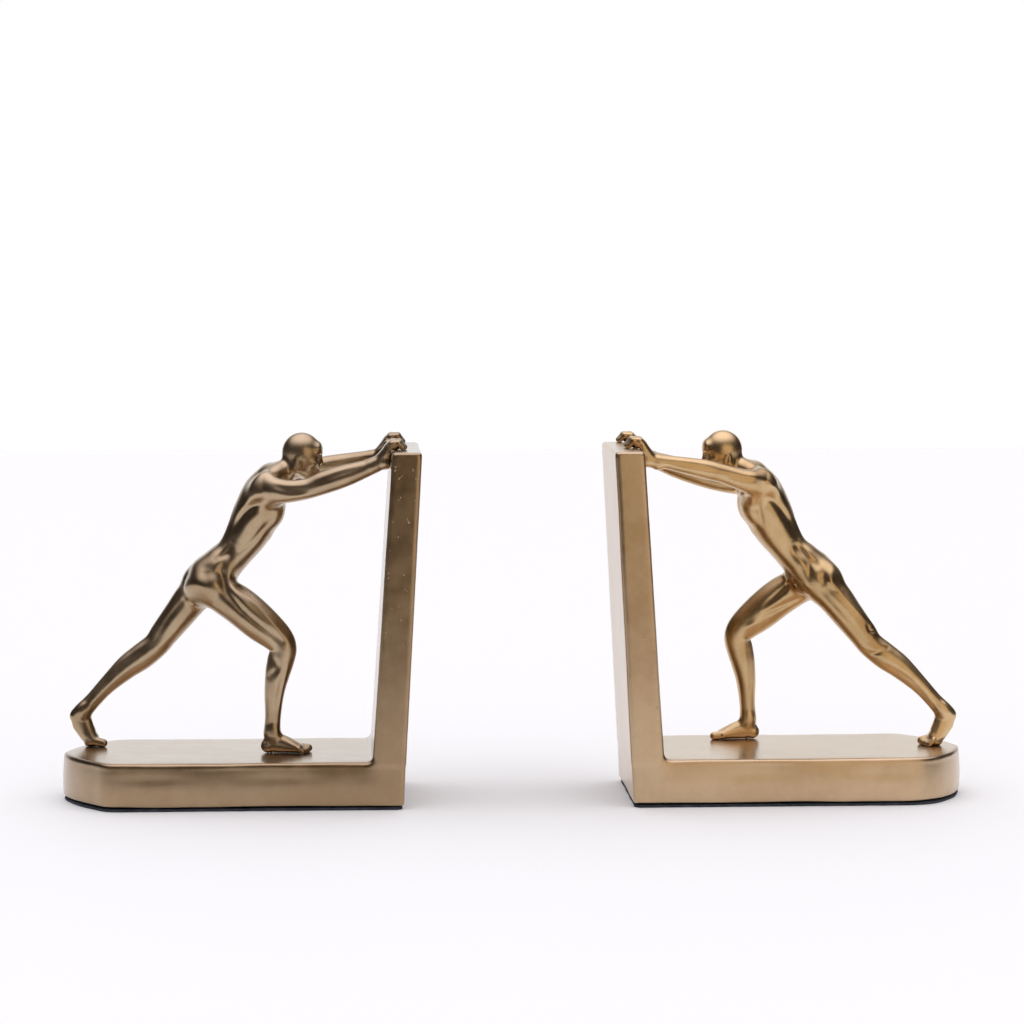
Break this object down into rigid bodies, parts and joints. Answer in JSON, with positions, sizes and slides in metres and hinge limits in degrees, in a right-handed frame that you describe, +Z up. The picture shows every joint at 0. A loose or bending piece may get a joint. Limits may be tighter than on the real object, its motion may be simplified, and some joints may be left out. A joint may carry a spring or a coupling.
{
  "type": "pair of book ends",
  "caption": "Cast L-shaped book ends, each with a small athletic figure that braces on the plinth and pushes the upright wall against the books.",
  "frame": {"origin": "bottom centre of the pair at rest, on the surface that it stands on, midway between the two castings", "axes": "+X along the pair, from the left book end to the right one; +Y across the shelf, away from the viewer; +Z up"},
  "size_m": [0.413, 0.078, 0.166],
  "materials": {
    "gold_base": "antique gold metallic paint on cast resin, satin, slightly uneven",
    "gold_figure": "antique gold metallic paint on cast resin, smooth, semi-gloss",
    "foam_pad": "fine-celled black foam sheet, matt",
    "pin_steel": "plain drawn steel"
  },
  "bodies": {
    "left_bookend": {"left_base": "gold_base", "left_base_pad": "foam_pad", "left_trunk": "gold_figure", "left_right_arm": "gold_figure", "left_left_arm": "gold_figure", "left_front_leg": "gold_figure", "left_rear_leg": "gold_figure", "left_front_foot_pin": "pin_steel", "left_rear_foot_pin": "pin_steel"},
    "right_bookend": {"right_base": "gold_base", "right_base_pad": "foam_pad", "right_trunk": "gold_figure", "right_right_arm": "gold_figure", "right_left_arm": "gold_figure", "right_front_leg": "gold_figure", "right_rear_leg": "gold_figure", "right_front_foot_pin": "pin_steel", "right_rear_foot_pin": "pin_steel"}
  },
  "joints": [
    {"name": "book_gap_slide", "type": "slide", "parent": "left_bookend", "child": "right_bookend", "axis": [1, 0, 0], "range_m": [-0.08, 0.22]}
  ]
}
